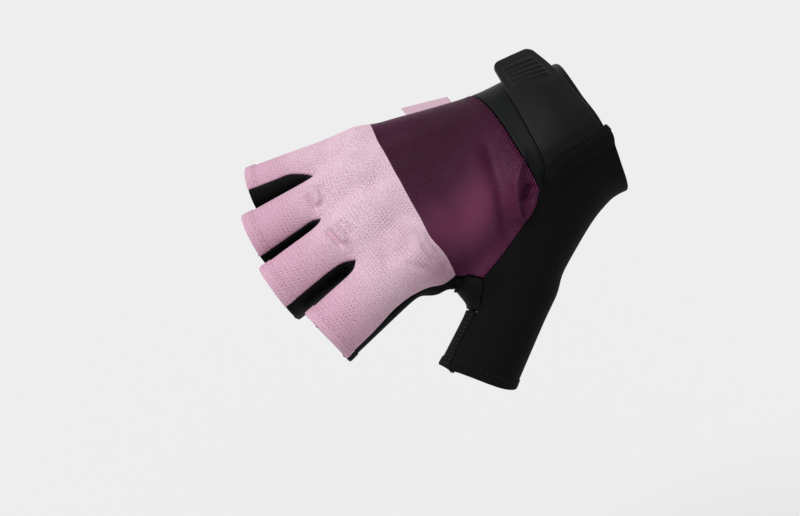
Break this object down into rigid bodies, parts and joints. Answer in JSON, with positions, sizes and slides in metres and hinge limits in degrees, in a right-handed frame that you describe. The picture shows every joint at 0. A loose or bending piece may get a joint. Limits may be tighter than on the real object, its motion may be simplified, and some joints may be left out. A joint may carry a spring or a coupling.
{
  "type": "cycling glove",
  "caption": "Fingerless sport glove in its worn form with two-colour knit back, dark palm, thumb stall, wrist cuff and moulded closing strap.",
  "frame": {"origin": "centre of the wrist opening, where the wrist goes in", "axes": "+Z out of the back of the hand, -X towards the fingers, -Y towards the thumb, +X out of the wrist opening"},
  "size_m": [0.1578, 0.1385, 0.0691],
  "materials": {
    "pink_knit": "matt perforated knit",
    "plum_knit": "satin knit",
    "cuff_neoprene": "smooth matt band",
    "brushed_black": "brushed stretch cloth",
    "smooth_black": "smooth stretch cloth",
    "palm_suede": "matt microfibre",
    "strap_rubber": "matt moulded",
    "pink_label": "matt woven tape, bare"
  },
  "bodies": {
    "root": {"finger_back_panel": "pink_knit", "hand_back_panel": "plum_knit", "cuff": "cuff_neoprene", "thumb_panel": "brushed_black", "thumb_web_gusset": "smooth_black", "thumb_inner_panel": "brushed_black", "palm_panel": "palm_suede", "fourchette_index_middle": "smooth_black", "fourchette_middle_ring": "smooth_black", "fourchette_ring_little": "smooth_black", "strap": "strap_rubber", "label_tab": "pink_label"}
  },
  "joints": []
}
